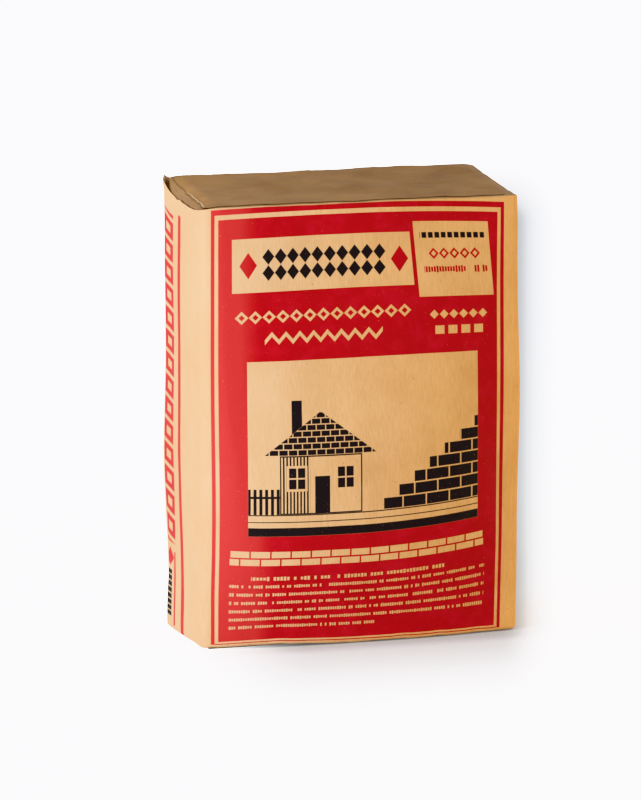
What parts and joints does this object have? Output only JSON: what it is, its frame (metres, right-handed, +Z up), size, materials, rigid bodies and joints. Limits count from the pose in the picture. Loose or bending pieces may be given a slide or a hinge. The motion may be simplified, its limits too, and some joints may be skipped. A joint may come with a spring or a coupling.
{
  "type": "cement bag",
  "caption": "Full kraft-paper valve sack of cement standing on its folded block bottom, front and back swollen low down, with glued cover strips on both ends and a flat filling sleeve.",
  "frame": {"origin": "on the floor, under the middle of the sack", "axes": "+Z up along the sack's height, +Y towards its back, so that the printed front looks along -Y, and the filling sleeve opens along -X"},
  "size_m": [0.3448, 0.2114, 0.4773],
  "materials": {
    "kraft_sack": "smooth natural kraft paper, printed in red and black on the front and the valve side",
    "cement": "fine grey powder",
    "kraft_sleeve": "unprinted kraft paper",
    "kraft_top_strip": "unprinted darker kraft paper, glued down",
    "kraft_bottom_strip": "unprinted darker kraft paper, glued down"
  },
  "bodies": {
    "root": {"paper_sack": "kraft_sack", "cement_fill": "cement", "valve_sleeve": "kraft_sleeve", "top_cover_strip": "kraft_top_strip", "bottom_cover_strip": "kraft_bottom_strip"}
  },
  "joints": []
}
